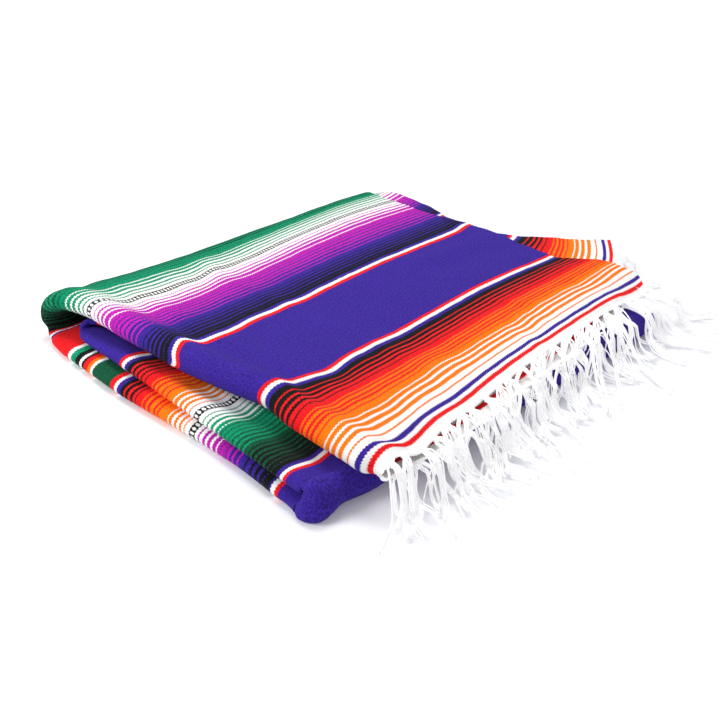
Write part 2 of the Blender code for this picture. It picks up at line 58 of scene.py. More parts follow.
TENT_STRENGTH = 0.45


def linear(hex_colour):
    """An sRGB hex colour as linear values, and opaque."""
    parts = [int(hex_colour[i:i + 2], 16) / 255 for i in (1, 3, 5)]
    return tuple(p / 12.92 if p <= 0.04045 else ((p + 0.055) / 1.055) ** 2.4 for p in parts) + (1.0,)


def add_node(tree, kind, inputs=(), **settings):
    """Add one shader node, set it up, and link or fill its inputs, given as (input, socket or value)."""
    made = tree.nodes.new("ShaderNode" + kind)
    for name, value in settings.items():
        setattr(made, name, value)
    for name, value in inputs:
        if isinstance(value, bpy.types.NodeSocket):
            tree.links.new(value, made.inputs[name])
        else:
            made.inputs[name].default_value = value
    return made


camera_data = bpy.data.cameras.new("camera")
camera_data.lens = LENS
camera_data.clip_start = 0.05
camera = bpy.data.objects.new("camera", camera_data)
bpy.context.scene.collection.objects.link(camera)
camera.matrix_world = (Matrix.Translation(CAMERA_PLACE)
                       @ Matrix.Rotation(math.radians(CAMERA_TURN), 4, "Z")
                       @ Matrix.Rotation(math.radians(90 - CAMERA_DOWN), 4, "X")
                       @ Matrix.Rotation(math.radians(CAMERA_ROLL), 4, "Z"))
bpy.context.scene.camera = camera
bpy.context.scene.view_settings.view_transform = "Standard"

bpy.ops.object.select_all(action="DESELECT")
bpy.ops.mesh.primitive_plane_add(size=FLOOR_SIZE, location=(0.0, 0.0, -FLOOR_DROP))
floor = bpy.context.object
floor.name = "floor"
sweep_paint = bpy.data.materials.new("white_sweep_painted_glow")     # matte white paper, with a painted glow that grows away from the blanket
sweep_paint.use_nodes = True
floor.data.materials.append(sweep_paint)
sweep = sweep_paint.node_tree.nodes["Principled BSDF"]
sweep.inputs["Base Color"].default_value = linear("#F2F3F6")
sweep.inputs["Roughness"].default_value = 0.9
sweep.inputs["Specular IOR Level"].default_value = 0.1
sweep.inputs["Emission Color"].default_value = linear("#FFFFFF")
sweep_place = add_node(sweep_paint.node_tree, "TexCoord")
out_from_middle = add_node(sweep_paint.node_tree, "VectorMath", ((0, sweep_place.outputs["Object"]),),
                           operation="LENGTH")
# painted glow: faint by the blanket, so that its shadows show, and strong far out
glow = add_node(sweep_paint.node_tree, "MapRange",
                (("Value", out_from_middle.outputs["Value"]), ("From Min", GLOW_START),
                 ("From Max", GLOW_FULL), ("To Min", GLOW_NEAR), ("To Max", GLOW_FAR)))
sweep_paint.node_tree.links.new(glow.outputs[0], sweep.inputs["Emission Strength"])

world = bpy.data.worlds.new("white_tent")
bpy.context.scene.world = world
world.use_nodes = True
world.node_tree.nodes["Background"].inputs["Color"].default_value = (1.0, 1.0, 1.0, 1.0)
world.node_tree.nodes["Background"].inputs["Strength"].default_value = TENT_STRENGTH

LIGHT_COLUMNS = ("name", "place", "size", "power")
LIGHTS = (
    ("overhead_softbox", (0.3, 0.7, 2.2), 1.6, 38),
    ("side_softbox", (-2.0, 0.6, 1.5), 1.2, 28),
)
for row in LIGHTS:
    softbox = dict(zip(LIGHT_COLUMNS, row))
    light_data = bpy.data.lights.new(softbox["name"], "AREA")
    light_data.shape = "DISK"
    light_data.size = softbox["size"]
    light_data.energy = softbox["power"]
    light = bpy.data.objects.new(softbox["name"], light_data)
    aim = (-Vector(softbox["place"])).to_track_quat("-Z", "Y").to_matrix().to_4x4()
    light.matrix_world = Matrix.Translation(softbox["place"]) @ aim
    bpy.context.scene.collection.objects.link(light)


# ---- The blanket's cloth: how one woven length lies folded --------------------------------------------
# Handspun wool weft beaten over a cotton warp, 3 mm thick and soft.  It is folded in half along the
# warp, so that each stretch is two leaves round a rolled edge, and then three times across it.
CLOTH = 0.003
HALF_WEFT = 0.72
CLOTH_LENGTH = 2.222
FRAME_SHIFT = Vector((-0.44966, -0.27068, 0.0))      # from the tables' corner to the frame's origin
WEFT_LINE_X = (0.08, 0.40, 0.72)                     # where a weft line's near, mid and far y are given

# Where each weft line lies.  turn is the warp's direction about the weft: 0 towards +Y, 180 back,
# 270 straight up.  axis is the height that the leaves' offsets are measured from.
PATH_COLUMNS = ("warp", "turn", "y_near", "y_mid", "y_far", "axis")
PATH = (
    (-0.040, 0, -0.082, -0.026, 0.034, 0.0340),
    (0.000, 0, -0.042, 0.014, 0.074, 0.0340),
    (0.012, 0, -0.030, 0.026, 0.086, 0.0340),
    (0.060, 0, 0.018, 0.072, 0.124, 0.0340),
    (0.217, 0, 0.175, 0.216, 0.253, 0.0340),
    (0.390, 0, 0.348, 0.391, 0.433, 0.0340),
    (0.591, 0, 0.549, 0.581, 0.612, 0.0340),
    (0.655, 0, 0.612, 0.638, 0.666, 0.0340),
    (0.708, 90, 0.612, 0.638, 0.666, 0.0340),
    (0.762, 180, 0.612, 0.638, 0.666, 0.0340),
    (0.860, 180, 0.514, 0.540, 0.567, 0.0280),
    (0.974, 180, 0.400, 0.424, 0.449, 0.0235),
    (1.200, 180, 0.174, 0.195, 0.217, 0.0215),
    (1.359, 180, 0.020, 0.024, 0.049, 0.0215),
    (1.391, 270, 0.020, 0.024, 0.049, 0.0215),
    (1.422, 360, 0.020, 0.024, 0.049, 0.0215),
    (1.467, 360, 0.058, 0.074, 0.096, 0.0235),
    (1.700, 360, 0.293, 0.314, 0.338, 0.0290),
    (1.850, 360, 0.443, 0.467, 0.492, 0.0335),
    (1.965, 360, 0.560, 0.584, 0.612, 0.0355),
    (1.981, 270, 0.560, 0.584, 0.612, 0.0355),
    (1.997, 180, 0.560, 0.584, 0.612, 0.0355),
    (2.060, 180, 0.497, 0.521, 0.549, 0.0355),
    (2.222, 180, 0.335, 0.359, 0.387, 0.0355),
)

# The two leaves round the rolled edge.  x_roll is the roll's outermost place, crest how far behind it
# the roll is full, and the offsets are those of the outer and inner leaf at the crest, in the trough
# behind it, in the middle, on the far side and at the selvedge.
FOLD_COLUMNS = ("warp", "x_roll", "crest", "outer_roll", "inner_roll", "outer_mid", "inner_mid",
                "outer_edge", "inner_edge", "x_outer", "x_inner")
FOLD = (
    (0.000, 0.054, 0.024, 0.0385, 0.0115, 0.0210, 0.0125, 0.0230, 0.0140, 0.742, 0.765),
    (0.012, 0.056, 0.024, 0.0410, 0.0115, 0.0220, 0.0125, 0.0230, 0.0140, 0.760, 0.766),
    (0.030, 0.044, 0.030, 0.0425, 0.0115, 0.0235, 0.0125, 0.0230, 0.0140, 0.774, 0.766),
    (0.060, 0.047, 0.034, 0.0430, 0.0105, 0.0250, 0.0130, 0.0230, 0.0140, 0.781, 0.766),
    (0.100, 0.048, 0.032, 0.0425, 0.0105, 0.0260, 0.0140, 0.0230, 0.0140, 0.778, 0.766),
    (0.150, 0.049, 0.032, 0.0420, 0.0105, 0.0270, 0.0150, 0.0225, 0.0145, 0.757, 0.768),
    (0.217, 0.058, 0.030, 0.0410, 0.0105, 0.0275, 0.0155, 0.0215, 0.0155, 0.724, 0.768),
    (0.300, 0.044, 0.034, 0.0415, 0.0110, 0.0270, 0.0155, 0.0215, 0.0155, 0.731, 0.764),
    (0.390, 0.032, 0.040, 0.0425, 0.0120, 0.0265, 0.0155, 0.0215, 0.0155, 0.733, 0.754),
    (0.450, 0.030, 0.032, 0.0420, 0.0130, 0.0265, 0.0155, 0.0215, 0.0155, 0.722, 0.751),
    (0.520, 0.028, 0.026, 0.0415, 0.0145, 0.0265, 0.0165, 0.0220, 0.0160, 0.712, 0.760),
    (0.591, 0.027, 0.022, 0.0410, 0.0165, 0.0265, 0.0185, 0.0235, 0.0180, 0.706, 0.761),
    (0.655, 0.013, 0.017, 0.0405, 0.0215, 0.0270, 0.0205, 0.0255, 0.0200, 0.702, 0.743),
    (0.682, 0.008, 0.016, 0.0395, 0.0230, 0.0280, 0.0215, 0.0270, 0.0210, 0.700, 0.726),
    (0.708, 0.005, 0.013, 0.0370, 0.0225, 0.0300, 0.0220, 0.0290, 0.0220, 0.700, 0.712),
    (0.735, 0.003, 0.013, 0.0345, 0.0222, 0.0315, 0.0230, 0.0310, 0.0230, 0.698, 0.702),
    (0.762, -0.002, 0.014, 0.0329, 0.0215, 0.0329, 0.0240, 0.0329, 0.0240, 0.698, 0.698),
    (0.860, -0.015, 0.015, 0.0269, 0.0085, 0.0269, 0.0160, 0.0269, 0.0160, 0.706, 0.704),
    (0.974, -0.017, 0.016, 0.0225, 0.0025, 0.0225, 0.0110, 0.0225, 0.0110, 0.708, 0.703),
    (1.120, -0.010, 0.016, 0.0212, 0.0005, 0.0212, 0.0090, 0.0212, 0.0090, 0.704, 0.700),
    (1.220, -0.008, 0.016, 0.0204, 0.0002, 0.0204, 0.0085, 0.0204, 0.0085, 0.706, 0.702),
    (1.300, -0.014, 0.016, 0.0204, 0.0015, 0.0204, 0.0075, 0.0204, 0.0075, 0.702, 0.700),
    (1.359, -0.017, 0.014, 0.0202, 0.0030, 0.0202, 0.0050, 0.0202, 0.0050, 0.700, 0.698),
    (1.391, -0.014, 0.014, 0.0325, 0.0030, 0.0205, 0.0040, 0.0200, 0.0040, 0.701, 0.698),
    (1.422, -0.011, 0.014, 0.0190, 0.0035, 0.0190, 0.0045, 0.0190, 0.0045, 0.700, 0.698),
    (1.467, -0.009, 0.016, 0.0160, 0.0020, 0.0160, 0.0030, 0.0160, 0.0030, 0.702, 0.700),
    (1.560, -0.004, 0.016, 0.0130, 0.0000, 0.0100, -0.0010, 0.0100, -0.0010, 0.708, 0.704),
    (1.700, 0.001, 0.016, 0.0110, -0.0035, 0.0050, -0.0050, 0.0050, -0.0050, 0.706, 0.702),
    (1.850, 0.006, 0.014, 0.0075, -0.0080, 0.0010, -0.0090, 0.0010, -0.0090, 0.707, 0.703),
    (1.915, 0.009, 0.008, -0.0005, -0.0090, -0.0010, -0.0090, -0.0010, -0.0090, 0.708, 0.704),
    (1.965, 0.019, 0.0045, -0.0035, -0.0100, -0.0040, -0.0100, -0.0040, -0.0100, 0.708, 0.704),
    (1.981, 0.024, 0.0045, -0.0040, -0.0100, -0.0040, -0.0100, -0.0040, -0.0100, 0.708, 0.704),
    (1.997, 0.031, 0.0045, -0.0040, -0.0100, -0.0040, -0.0100, -0.0040, -0.0100, 0.708, 0.704),
    (2.060, 0.055, 0.0045, -0.0050, -0.0107, -0.0050, -0.0107, -0.0050, -0.0107, 0.708, 0.704),
    (2.222, 0.060, 0.0045, -0.0050, -0.0107, -0.0050, -0.0107, -0.0050, -0.0107, 0.700, 0.696),
)
MID_LEAF_X, EDGE_LEAF_X, LAST_LEAF_X = 0.28, 0.55, 0.80

# The lower leaf of the top fold slips back along the warp towards its selvedge and flares out, and
# its hem comes out from under the upper leaf's.
SLIP_COLUMNS = ("warp", "slip", "start", "flare", "lift", "out")
SLIP = (
    (0.000, 0.175, 0.80, 0.096, 0.0070, 0.017),
    (0.060, 0.162, 0.77, 0.076, 0.0020, 0.010),
    (0.140, 0.146, 0.68, 0.044, -0.0050, 0.002),
    (0.217, 0.131, 0.50, 0.014, -0.0100, 0.000),
    (0.300, 0.112, 0.30, 0.000, -0.0100, 0.000),
    (0.390, 0.100, 0.20, 0.000, -0.0050, 0.000),
    (0.560, 0.085, 0.20, 0.000, 0.0000, 0.000),
    (0.760, 0.000, 0.20, 0.000, 0.0000, 0.000),
    (2.222, 0.000, 0.20, 0.000, 0.0000, 0.000),
)
OUT_PLACES = (0.05, 0.20, 0.62, 0.86)    # parts of the half weft where its hem lies further out
FLARE_START = 0.72
SLIP_BEND = 1.3

# Soft troughs and ridges, each placed on its leaf: weft in mm from the roll (negative on the inner
# leaf), warp in mm, how long and wide it is, its turn from the warp's direction, and its rise.
CREASE_COLUMNS = ("weft", "warp", "long", "wide", "turn", "rise")
CREASES = (
    (34, 330, 420, 18, 0, 4.5),         # the roll's full crest
    (66, 330, 420, 20, 0, -6.0),        # trough all along behind it
    (118, 330, 470, 55, 0, -4.5),
    (480, 330, 460, 150, 0, 7.0),       # the puffed middle
    (300, 0, 55, 170, 0, 5.5),          # the hem lifts over the fringe below it
    (720, 0, 75, 75, 0, -8.0),          # and droops at its corner
    (78, 0, 60, 34, 0, -3.5),
    (640, 600, 150, 120, 0, 4.5),
    (237, 300, 420, 16, 2, 1.6),        # old storage crease along the warp
    (290, 320, 380, 24, -1, -1.4),
    (395, 60, 120, 15, 6, 1.6),
    (470, 95, 70, 14, -12, -1.6),
    (486, 130, 60, 12, -20, 1.3),
    (255, 585, 70, 20, 28, 3.0),        # pucker by the chain stripe
    (205, 560, 60, 22, 20, -2.6),
    (330, 600, 80, 24, -24, -1.8),
    (560, 250, 110, 26, 62, 1.3),
    (590, 338, 22, 130, 6, 2.4),        # low ridge and trough across the solid band
    (580, 298, 20, 130, 6, -1.6),
    (610, 90, 90, 24, -35, -2.0),
    (665, 150, 70, 20, -28, 1.6),
    (150, 450, 120, 16, 10, -1.2),
    (38, 330, 420, 3.5, 0, 0.7),        # pressed line on the roll's crest
    (30, 120, 40, 14, 40, -1.5),
    (24, 260, 50, 12, -30, 1.2),
    (20, 500, 60, 12, 25, -1.2),
    (-690, 120, 90, 30, 25, 2.4),       # the flap
    (-640, 210, 80, 22, -30, -2.0),
    (-600, 60, 120, 30, 10, 1.8),
    (-500, 480, 160, 30, 15, 1.6),
    (24, 1378, 18, 30, 0, 6.5),         # the front corner, pushed out and crumpled
    (5, 1363, 5, 15, 10, -5.0),
    (10, 1394, 5, 13, 25, -4.0),
    (-3, 1413, 9, 9, 0, -9.0),
    (15, 1404, 5, 6, 50, 3.4),
    (17, 1422, 5, 6, -30, -3.2),
    (6, 1404, 4, 6, -20, -3.0),
    (140, 1391, 30, 22, 10, -1.6),
    (260, 1391, 40, 30, -12, 1.3),
    (420, 1396, 40, 26, 8, -1.4),
    (560, 1388, 40, 34, -8, 1.4),
    (18, 1500, 60, 10, 20, -1.0),
    (30, 1610, 50, 12, -24, 1.2),
    (22, 1760, 60, 12, 18, -1.2),
    (-22, 900, 60, 14, 25, 1.4),
    (-18, 1060, 50, 12, -20, -1.4),
    (-24, 1230, 60, 14, 16, 1.6),
    (-10, 1330, 40, 10, -30, -1.6),
    (300, 700, 50, 60, 85, 1.6),        # the wrap's back
    (520, 712, 50, 50, 80, -1.8),
    (90, 705, 40, 30, 60, 1.6),
    (-300, 0, 50, 200, 0, -6.5),        # the lower leaf's hem, raised by the layers below
    (20, 733, 8, 60, 0, -4.0),          # groove below the wrap's corner
    (-34, 672, 60, 34, 0, 10.0),        # the roll puffs out inside the wrap
    (34, 815, 24, 40, 0, 3.5),
    (54, 1404, 9, 22, -35, 2.0),
    (58, 1650, 330, 24, 0, -9.0),       # the middle roll sinks where the top one lies on it
)
# How far, in mm, the cloth has slid along its own path, placed as the creases are.
SLIDES = (
    (300, 0, 120, 170, 0, 7),
    (690, 0, 42, 60, 0, -10),
    (75, 0, 60, 40, 0, -10),
    (350, 400, 150, 160, 0, 5),
    (560, 230, 120, 120, 0, 6),
    (620, 560, 90, 260, 0, 16),
    (15, 545, 75, 28, 0, 21),
    (4, 385, 50, 14, 0, -12),
    (42, 385, 60, 13, 0, 9),
    (15, 230, 80, 28, 0, 11),
    (18, 158, 28, 28, 0, -6),
    (20, 95, 45, 32, 0, -7),
    (108, 75, 42, 42, 0, -9),
    (122, 210, 45, 36, 0, -9),
    (68, 205, 45, 14, 0, 5),
    (105, 385, 60, 32, 0, -8),
    (135, 540, 60, 50, 0, -8),
    (416, 75, 40, 30, 0, -6),
    (256, 105, 35, 28, 0, 6),
    (560, 545, 45, 200, 0, 6),
    (710, 385, 60, 30, 0, 8),
    (700, 70, 40, 40, 0, 7),
    (215, 30, 40, 50, 0, -3),
    (420, 645, 30, 240, 0, -8),
    (0, 1150, 80, 60, 0, -1),
    (0, 985, 60, 60, 0, 2.5),
    (0, 1290, 55, 60, 0, 9),
    (20, 1482, 30, 60, 0, -6),
    (15, 1672, 70, 60, 0, -6),
    (5, 667, 34, 60, 0, 16),            # the bend at the back corner
    (0, 756, 62, 70, 0, -12),
    (-32, 738, 16, 26, 0, 13),          # tuck that swallows its stripes
    (-720, 190, 90, 40, 0, -15),
    (-635, 25, 70, 34, 0, 14),
)
PUCKER = 0.0007          # depth of the small uneven puckers all over
PUCKER_SIZE = 0.045
EDGE_WANDER = 0.0016     # how far the selvedges stray from straight, in two long waves
EDGE_WAVES = (61, 143)
EDGE_START = 0.97        # part of the half weft from which they stray
FRAME_STEP = 0.0015      # step over which the cloth's directions are measured
WARP_STEPS = 4525        # places at which the tables are worked out along the warp


def run_through(knots, values, place):
    """A smooth run through a table's values that doesn't overshoot between them."""
    knots, values = np.broadcast_arrays(knots, values)
    place = np.clip(place, knots[..., 0], knots[..., -1])
    steps = np.diff(knots)
    rises = np.diff(values) / steps
    before, after = rises[..., :-1], rises[..., 1:]
    same_way = before * after > 0
    total = np.where(same_way, before + after, 1.0)
    middle = np.where(same_way, 2 * before * after / total, 0.0)
    slopes = np.concatenate((rises[..., :1], middle, rises[..., -1:]), axis=-1)
    i = np.clip((place[..., None] >= knots).sum(axis=-1) - 1, 0, steps.shape[-1] - 1)[..., None]

    def take(table, k):
        table, k = np.broadcast_arrays(table, np.zeros_like(table[..., :1], int) + k)
        return np.take_along_axis(table, k[..., :1], axis=-1)[..., 0]

    step, low = take(steps, i), take(knots, i)
    t = (place - low) / step
    return ((2 * t**3 - 3 * t**2 + 1) * take(values, i) + (t**3 - 2 * t**2 + t) * take(slopes, i) * step
            + (3 * t**2 - 2 * t**3) * take(values, i + 1) + (t**3 - t**2) * take(slopes, i + 1) * step)


WARP_PLACES = np.linspace(PATH[0][0], CLOTH_LENGTH, WARP_STEPS)


def table_along(table, names):
    """The table's columns at closely spaced warp places."""
    rows = np.array(table, float)
    knots = np.broadcast_to(rows[:, 0], (len(WARP_PLACES), len(rows)))
    return {name: run_through(knots, rows[:, i], WARP_PLACES) for i, name in enumerate(names) if i}


PATH_AT = table_along(PATH, PATH_COLUMNS)
FOLD_AT = table_along(FOLD, FOLD_COLUMNS)
SLIP_AT = table_along(SLIP, SLIP_COLUMNS)


def at_warp(table, warp):
    return {name: np.interp(warp, WARP_PLACES, values) for name, values in table.items()}


def plain_lie(warp, weft):
    """Where the middle of the cloth lies, before its creases."""
    part, inner = np.abs(weft), weft < 0
    slip = at_warp(SLIP_AT, warp)
    reach = np.clip(part - slip["start"], 0, None) / (1 - slip["start"])
    shown = np.interp(part, OUT_PLACES, (0, 1, 1, 0))
    pushed = slip["slip"] * reach**SLIP_BEND - slip["out"] * shown**2 * (3 - 2 * shown)
    warp = warp + np.where(inner, pushed, 0.0)
    path, fold = at_warp(PATH_AT, warp), at_warp(FOLD_AT, warp)

    rise = (fold["outer_roll"] - fold["inner_roll"]) / 2
    quarter = math.pi / 2 * np.sqrt((fold["crest"]**2 + rise**2) / 2)
    run = part * HALF_WEFT
    angle = math.pi / 2 * np.clip(run / quarter, 0, 1)
    crest_x = fold["x_roll"] + fold["crest"]
    end_x = np.where(inner, fold["x_inner"], fold["x_outer"])
    leaf_x = crest_x + (run - quarter) / (HALF_WEFT - quarter) * (end_x - crest_x)
    x = np.where(run < quarter, fold["x_roll"] + fold["crest"] * (1 - np.cos(angle)), leaf_x)

    middle = (fold["outer_roll"] + fold["inner_roll"]) / 2
    on_roll = middle + np.where(inner, -rise, rise) * np.sin(angle)
    further = [np.full_like(x, k) for k in (MID_LEAF_X, EDGE_LEAF_X, LAST_LEAF_X)]
    knots = np.stack([np.zeros_like(x), crest_x] + further, axis=-1)
    outer = np.stack([fold["outer_" + key] for key in ("roll", "roll", "mid", "edge", "edge")], axis=-1)
    within = np.stack([fold["inner_" + key] for key in ("roll", "roll", "mid", "edge", "edge")], axis=-1)
    on_leaf = run_through(knots, np.where(inner[..., None], within, outer), x)
    offset = np.where(run < quarter, on_roll, on_leaf)

    near, mid, far = WEFT_LINE_X
    y = (path["y_near"] * (x - mid) * (x - far) / ((near - mid) * (near - far))
         + path["y_mid"] * (x - near) * (x - far) / ((mid - near) * (mid - far))
         + path["y_far"] * (x - near) * (x - mid) / ((far - near) * (far - mid)))
    slope = (path["y_near"] * (2 * x - mid - far) / ((near - mid) * (near - far))
             + path["y_mid"] * (2 * x - near - far) / ((mid - near) * (mid - far))
             + path["y_far"] * (2 * x - near - mid) / ((far - near) * (far - mid)))
    length = np.sqrt(1 + slope**2)
    turn = np.radians(path["turn"])
    x = x - slope / length * np.sin(turn) * offset
    y = y + np.sin(turn) * offset / length
    z = path["axis"] + np.cos(turn) * offset
    swing = np.where(inner, np.clip(part - FLARE_START, 0, None) / (1 - FLARE_START), 0.0)
    x = x + slip["flare"] * swing
    z = np.maximum(z + slip["lift"] * swing**3, CLOTH / 2)
    return np.stack((x, y, z), axis=-1) + np.array(FRAME_SHIFT)


def soft_bumps(table, warp, weft):
    """The sum of a table's soft bumps at the cloth's places, in metres."""
    across, along = weft * HALF_WEFT * 1000, warp * 1000
    total = np.zeros_like(across)
    for row in table:
        bump = dict(zip(CREASE_COLUMNS, row))
        turn = math.radians(bump["turn"])
        down, over = along - bump["warp"], across - bump["weft"]
        a = (down * math.cos(turn) + over * math.sin(turn)) / bump["long"]
        b = (over * math.cos(turn) - down * math.sin(turn)) / bump["wide"]
        total += bump["rise"] / 1000 * np.exp(-a**2 - b**2)
    return total


def lie_and_frame(warp, weft):
    """Where the middle of the cloth lies with its creases, and its normal, weft and warp directions."""
    slid = warp + soft_bumps(SLIDES, warp, weft)
    step = FRAME_STEP
    along = plain_lie(slid + step, weft) - plain_lie(slid - step, weft)
    across = plain_lie(slid, np.clip(weft + step, -1, 1)) - plain_lie(slid, np.clip(weft - step, -1, 1))
    normal, across, along = (v / np.maximum(np.linalg.norm(v, axis=-1, keepdims=True), 1e-9)
                             for v in (np.cross(across, along), across, along))
    flat = np.stack((weft * HALF_WEFT, warp), axis=-1).reshape(-1, 2) / PUCKER_SIZE
    puckers = [noise.noise(Vector((u, v, 0.0))) + 0.5 * noise.noise(Vector((2.3 * u, 2.3 * v, 5.0)))
               for u, v in flat]
    rise = soft_bumps(CREASES, warp, weft) + PUCKER * np.array(puckers).reshape(warp.shape)
    near_edge = np.clip((np.abs(weft) - EDGE_START) / (1 - EDGE_START), 0, 1) * np.sign(weft)
    wave = np.sin(warp * EDGE_WAVES[0]) + 0.6 * np.sin(warp * EDGE_WAVES[1] + 1.3)
    wander = EDGE_WANDER * wave * near_edge
    point = plain_lie(slid, weft) + normal * rise[..., None] + across * wander[..., None]
    point[..., 2] = np.maximum(point[..., 2], CLOTH / 2)
    return point, normal, across, along


def spaced(*stretches):
    """Places from one end to the other, each stretch given as (from, to, step)."""
    places = [np.linspace(start, end, max(2, int(round((end - start) / step)) + 1))
              for start, end, step in stretches]
    return np.unique(np.round(np.concatenate(places), 6))


SHARP_EDGE = 50          # the shell's rims are sharp and its bends smooth, parted at this angle


def woven_cloth(name, warps, wefts):
    """A closed thin shell through the cloth's places, with the weft and warp in metres as its UV map."""
    warp, weft = np.meshgrid(warps, wefts, indexing="ij")
    points = lie_and_frame(warp, weft)[0].reshape(-1, 3)
    rows, cols = warp.shape
    first = (np.arange(rows - 1)[:, None] * cols + np.arange(cols - 1)).ravel()
    faces = np.stack((first, first + 1, first + cols + 1, first + cols), axis=-1)
    mesh = bpy.data.meshes.new(name)
    mesh.from_pydata(points.tolist(), [], faces.tolist())
    uv = mesh.uv_layers.new(name="cloth")
    places = np.stack((weft.ravel() * HALF_WEFT, warp.ravel()), axis=-1)
    uv.data.foreach_set("uv", places[faces.ravel()].ravel())
    mesh.shade_smooth()
    piece = bpy.data.objects.new(name, mesh)
    bpy.context.scene.collection.objects.link(piece)
    wall = piece.modifiers.new("wall", "SOLIDIFY")
    wall.thickness = CLOTH
    wall.offset = 0.0
    bpy.ops.object.select_all(action="DESELECT")
    bpy.context.view_layer.objects.active = piece
    piece.select_set(True)
    bpy.ops.object.modifier_apply(modifier="wall")
    mesh.set_sharp_from_angle(angle=math.radians(SHARP_EDGE))
    return piece


# Dyed wool, matte and a little hairy.  Weft-faced: each pick shows over every other warp, so stripe
# edges are serrated and a stripe one pick wide is a row of dashes.
WOOL = {
    "B": "#3A2494", "R": "#F0181E", "O": "#FF7A08", "M": "#C21EB0", "G": "#06946A",
    "D": "#0B5236", "K": "#101313", "W": "#F8F7F5", "C": "#101313",
}
WARP_GAP = 0.0021
PICK = 0.0011
PICK_SWAY = 0.0016       # how far the picks sway along the warp
SWAY_SCALE = 55.0        # per metre: once in 18 mm
CHAIN_LINK = 0.0064      # length of a link of the chain stripe, a white oval on black
CHAIN_HALF_WIDTH = 0.0040
CHAIN_OVAL = 1.55        # how many times the link's half length is the oval's
RAMP_PICKS = 100         # picks that one colour ramp covers; it has room for 32 stripes
MOTTLE, MOTTLE_PER_M = 2.40, (300.0, 420.0)      # unevenness of the dye from yarn to yarn
STREAK, STREAK_PER_M = 0.60, 60.0                # and along one pick
CLOUD, CLOUD_SCALE = 0.18, 14.0                  # and all over the cloth, once in 70 mm
RIB_SHADE = 0.20                                       # painted shade between the warps, lighter on their crests
HAIR_SCALE = 900.0       # per metre: the wool's hairs are drawn 1.1 mm apart, so that they show
BEAD_HEIGHT = 0.0008


def add_stripes(tree, pick, stripes, start):
    """The stripes' colour at a pick, from colour ramps laid end to end."""
    edges = np.round((start * 1000 + np.cumsum([0.0] + [width for _, width in stripes])) / 1000 / PICK)
    colour = None
    for first in range(int(edges[0]), int(edges[-1]), RAMP_PICKS):
        part = add_node(tree, "MapRange", (("Value", pick), ("From Min", first - 0.5),
                                           ("From Max", first - 0.5 + RAMP_PICKS)))
        ramp = add_node(tree, "ValToRGB", (("Fac", part.outputs[0]),))
        ramp.color_ramp.interpolation = "CONSTANT"
        stops = ramp.color_ramp.elements
        stops.remove(stops[1])
        for i, (wool, _) in enumerate(stripes):
            if edges[i + 1] <= first or edges[i] >= first + RAMP_PICKS:
                continue
            if edges[i] <= first:
                stop = stops[0]
            else:
                stop = stops.new((edges[i] - first) / RAMP_PICKS)
            stop.color = linear(WOOL[wool])
        if colour is None:
            colour = ramp.outputs[0]
        else:
            beyond = add_node(tree, "Math", ((0, pick), (1, first - 0.5)), operation="GREATER_THAN")
            colour = add_node(tree, "Mix", (("Factor", beyond.outputs[0]), (6, colour), (7, ramp.outputs[0])),
                              data_type="RGBA").outputs[2]
    return colour


